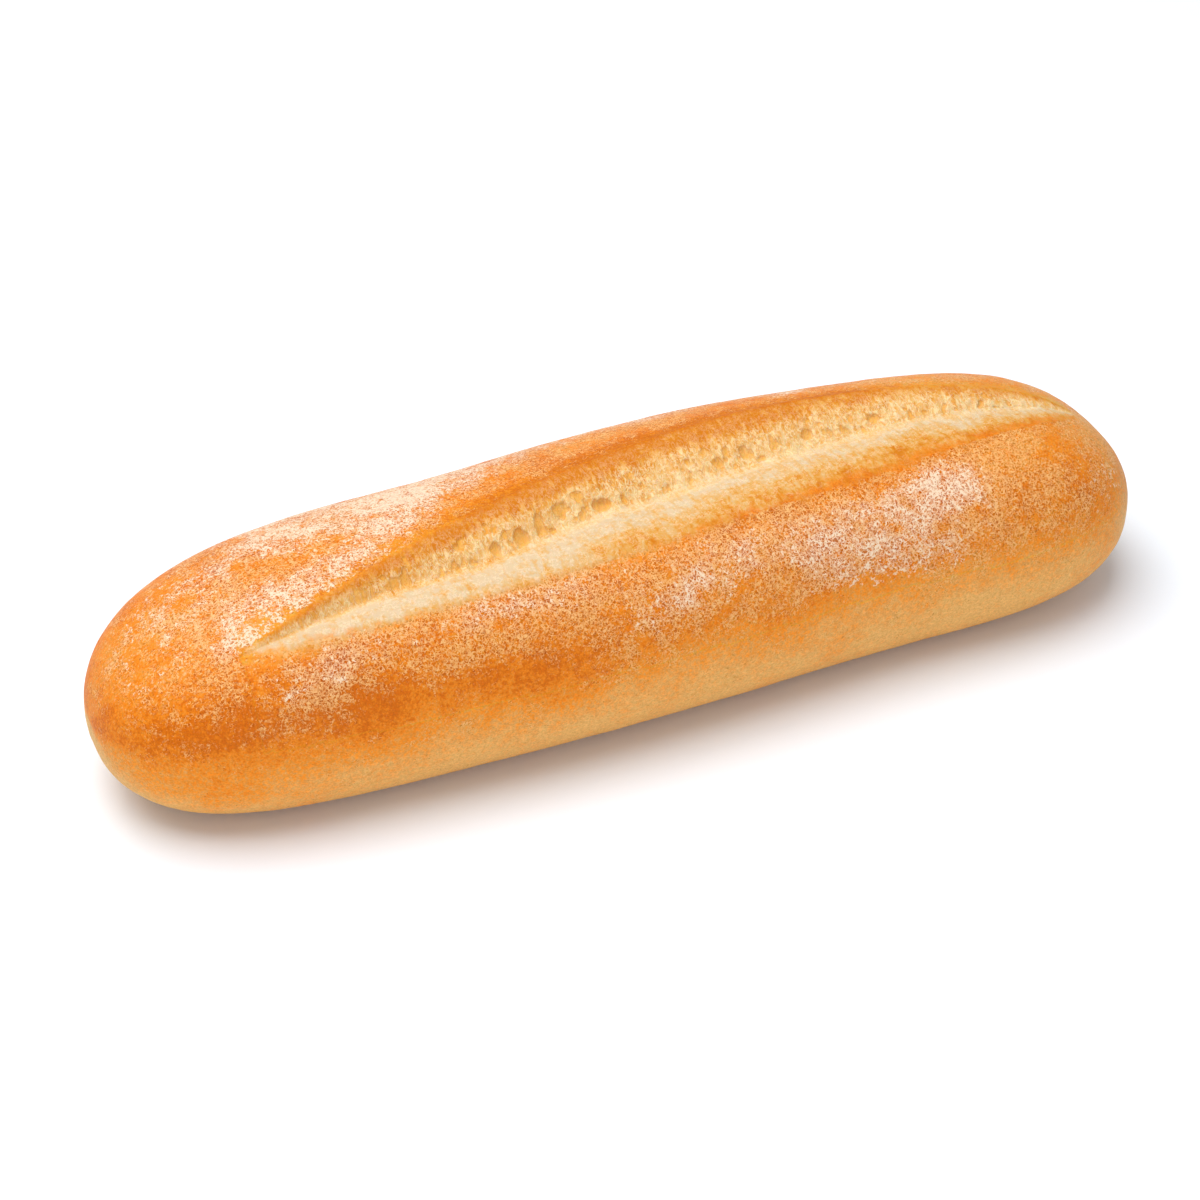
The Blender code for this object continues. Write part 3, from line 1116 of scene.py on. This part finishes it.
# %% Put the roll in the frame
roll.data.materials.clear()
roll.data.materials.append(bread.material)
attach(roll, "root")
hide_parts("bread_roll")

# %% [markdown]
# ## Studio
#
# A plain white floor, and soft light. A large soft box hangs above, a little behind and to
# the left, and puts a short soft shadow in front of the roll. A weaker one stands low in
# front, so that the near side isn't dull.

# %% Floor
FLOOR_SIZE = 4.0
FLOOR_GAP = 0.1 * MM
bpy.ops.mesh.primitive_plane_add(size=FLOOR_SIZE, location=(0, 0, -FLOOR_GAP))
floor = bpy.context.object
floor.name = "floor"
paper = Finish("white_paper")
paper.set(Base_Color=(0.93, 0.96, 0.99, 1.0), Roughness=0.9)
floor.data.materials.append(paper.material)

# %% Light
room = bpy.data.worlds.new("white_room")
room.use_nodes = True
room.node_tree.nodes["Background"].inputs["Color"].default_value = (0.84, 0.90, 1.0, 1.0)
room.node_tree.nodes["Background"].inputs["Strength"].default_value = 0.40
bpy.context.scene.world = room


def soft_box(name, place, size, watts):
    """A square area light that faces the roll."""
    light = bpy.data.lights.new(name, "AREA")
    light.size = size
    light.energy = watts
    lamp = bpy.data.objects.new(name, light)
    lamp.location = place
    lamp.rotation_euler = (-Vector(place)).to_track_quat("-Z", "Y").to_euler()
    bpy.context.scene.collection.objects.link(lamp)


soft_box("above", (-0.20, 0.17, 1.0), 1.0, 12.5)
soft_box("low_front", (-0.25, -1.20, 0.28), 0.8, 4.6)

# %% [markdown]
# ## Camera
#
# The camera's turn, rise and distance were fitted to the outline of the roll in the
# photograph. The aim is moved a few millimetres sideways and down, so that the roll also
# lies where it does there.

# %% Camera
VIEW_TURN = math.radians(-23.26)
VIEW_RISE = math.radians(38)
VIEW_DISTANCE = 0.6153
FOCAL_PIXELS = 2720.35
PICTURE_PIXELS = 1200
SENSOR_MM = 36
AIM = Vector((0, -0.0012, 0.025))
AIM_RIGHT = -0.0059
AIM_UP = -0.0076

back = Vector((
    math.sin(VIEW_TURN) * math.cos(VIEW_RISE),
    -math.cos(VIEW_TURN) * math.cos(VIEW_RISE),
    math.sin(VIEW_RISE),
))
right = Vector((math.cos(VIEW_TURN), math.sin(VIEW_TURN), 0))
upward = back.cross(right)
lens = bpy.data.cameras.new("camera")
lens.sensor_width = SENSOR_MM
lens.lens = FOCAL_PIXELS / PICTURE_PIXELS * SENSOR_MM
camera = bpy.data.objects.new("camera", lens)
stand = AIM + right * AIM_RIGHT + upward * AIM_UP + back * VIEW_DISTANCE
camera.matrix_world = Matrix.Translation(stand) @ Matrix((right, upward, back)).transposed().to_4x4()
bpy.context.scene.collection.objects.link(camera)
bpy.context.scene.camera = camera
bpy.context.scene.view_settings.view_transform = "Standard"
print(f"camera with a {lens.lens:.1f} mm lens at {tuple(round(value, 3) for value in stand)}")
